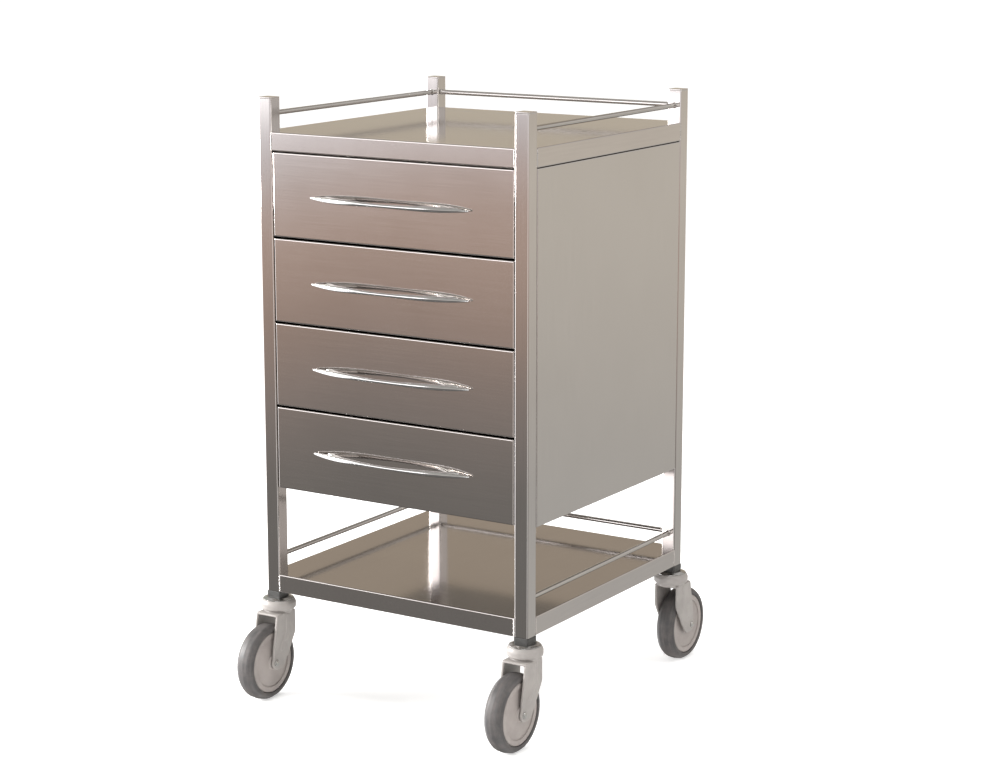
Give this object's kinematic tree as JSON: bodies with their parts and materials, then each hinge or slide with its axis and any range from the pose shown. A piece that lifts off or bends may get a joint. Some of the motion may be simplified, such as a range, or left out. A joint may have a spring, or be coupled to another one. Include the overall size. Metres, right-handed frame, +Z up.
{
  "type": "instrument cart",
  "caption": "Square-tube steel trolley with a railed tray on top, a stack of equal drawers with bow handles, an open lower shelf and swivel castors.",
  "frame": {"origin": "on the floor, under the middle of the cart", "axes": "+Z up, -Y towards the drawer fronts, +X to the right as seen from the front"},
  "size_m": [0.533, 0.674, 0.981],
  "materials": {
    "frame_tube": "satin brushed stainless steel tube",
    "guard_rail": "polished stainless steel rod",
    "tray_sheet": "satin stainless steel sheet, lightly mirrored",
    "panel_sheet": "satin stainless steel sheet",
    "drawer_front_steel": "satin stainless steel sheet with folded edges",
    "drawer_box_steel": "satin stainless steel sheet",
    "handle_chrome": "mirror chrome",
    "runner_zinc": "zinc-plated steel",
    "collar_plastic": "black moulded plastic",
    "fork_plastic": "light grey moulded plastic",
    "hub_plastic": "light grey moulded plastic",
    "tyre_rubber": "dark grey non-marking rubber",
    "axle_bolt": "zinc-plated steel bolt"
  },
  "bodies": {
    "frame": {"post_front_left": "frame_tube", "post_front_right": "frame_tube", "post_rear_left": "frame_tube", "post_rear_right": "frame_tube", "top_tray": "tray_sheet", "lower_shelf": "tray_sheet", "top_rail_left": "guard_rail", "top_rail_right": "guard_rail", "top_rail_back": "guard_rail", "lower_rail_left": "guard_rail", "lower_rail_right": "guard_rail", "lower_rail_back": "guard_rail", "side_panel_left": "panel_sheet", "side_panel_right": "panel_sheet", "rear_panel": "panel_sheet", "cabinet_floor": "panel_sheet", "runner_1_left": "runner_zinc", "runner_1_right": "runner_zinc", "runner_2_left": "runner_zinc", "runner_2_right": "runner_zinc", "runner_3_left": "runner_zinc", "runner_3_right": "runner_zinc", "runner_4_left": "runner_zinc", "runner_4_right": "runner_zinc", "stem_front_left": "collar_plastic", "stem_front_right": "collar_plastic", "stem_rear_left": "collar_plastic", "stem_rear_right": "collar_plastic"},
    "drawer_1": {"drawer_1_front": "drawer_front_steel", "drawer_1_box": "drawer_box_steel", "drawer_1_handle": "handle_chrome"},
    "drawer_2": {"drawer_2_front": "drawer_front_steel", "drawer_2_box": "drawer_box_steel", "drawer_2_handle": "handle_chrome"},
    "drawer_3": {"drawer_3_front": "drawer_front_steel", "drawer_3_box": "drawer_box_steel", "drawer_3_handle": "handle_chrome"},
    "drawer_4": {"drawer_4_front": "drawer_front_steel", "drawer_4_box": "drawer_box_steel", "drawer_4_handle": "handle_chrome"},
    "castor_front_left": {"fork_front_left": "fork_plastic", "axle_front_left": "axle_bolt"},
    "wheel_front_left": {"hub_front_left": "hub_plastic", "tyre_front_left": "tyre_rubber"},
    "castor_front_right": {"fork_front_right": "fork_plastic", "axle_front_right": "axle_bolt"},
    "wheel_front_right": {"hub_front_right": "hub_plastic", "tyre_front_right": "tyre_rubber"},
    "castor_rear_left": {"fork_rear_left": "fork_plastic", "axle_rear_left": "axle_bolt"},
    "wheel_rear_left": {"hub_rear_left": "hub_plastic", "tyre_rear_left": "tyre_rubber"},
    "castor_rear_right": {"fork_rear_right": "fork_plastic", "axle_rear_right": "axle_bolt"},
    "wheel_rear_right": {"hub_rear_right": "hub_plastic", "tyre_rear_right": "tyre_rubber"}
  },
  "joints": [
    {"name": "drawer_1_slide", "type": "slide", "parent": "frame", "child": "drawer_1", "axis": [0, -1, 0], "range_m": [0, 0.33]},
    {"name": "drawer_2_slide", "type": "slide", "parent": "frame", "child": "drawer_2", "axis": [0, -1, 0], "range_m": [0, 0.33]},
    {"name": "drawer_3_slide", "type": "slide", "parent": "frame", "child": "drawer_3", "axis": [0, -1, 0], "range_m": [0, 0.33]},
    {"name": "drawer_4_slide", "type": "slide", "parent": "frame", "child": "drawer_4", "axis": [0, -1, 0], "range_m": [0, 0.33]},
    {"name": "castor_front_left_swivel", "type": "hinge", "parent": "frame", "child": "castor_front_left", "pos_m": [-0.2375, -0.2375, 0.14], "axis": [0, 0, 1], "continuous": true},
    {"name": "wheel_front_left_spin", "type": "hinge", "parent": "castor_front_left", "child": "wheel_front_left", "pos_m": [-0.2375, -0.2745, 0.0625], "axis": [1, 0, 0], "continuous": true},
    {"name": "castor_front_right_swivel", "type": "hinge", "parent": "frame", "child": "castor_front_right", "pos_m": [0.2375, -0.2375, 0.14], "axis": [0, 0, 1], "continuous": true},
    {"name": "wheel_front_right_spin", "type": "hinge", "parent": "castor_front_right", "child": "wheel_front_right", "pos_m": [0.2375, -0.2745, 0.0625], "axis": [1, 0, 0], "continuous": true},
    {"name": "castor_rear_left_swivel", "type": "hinge", "parent": "frame", "child": "castor_rear_left", "pos_m": [-0.2375, 0.2375, 0.14], "axis": [0, 0, 1], "continuous": true},
    {"name": "wheel_rear_left_spin", "type": "hinge", "parent": "castor_rear_left", "child": "wheel_rear_left", "pos_m": [-0.2375, 0.2745, 0.0625], "axis": [1, 0, 0], "continuous": true},
    {"name": "castor_rear_right_swivel", "type": "hinge", "parent": "frame", "child": "castor_rear_right", "pos_m": [0.2375, 0.2375, 0.14], "axis": [0, 0, 1], "continuous": true},
    {"name": "wheel_rear_right_spin", "type": "hinge", "parent": "castor_rear_right", "child": "wheel_rear_right", "pos_m": [0.2375, 0.2745, 0.0625], "axis": [1, 0, 0], "continuous": true}
  ]
}
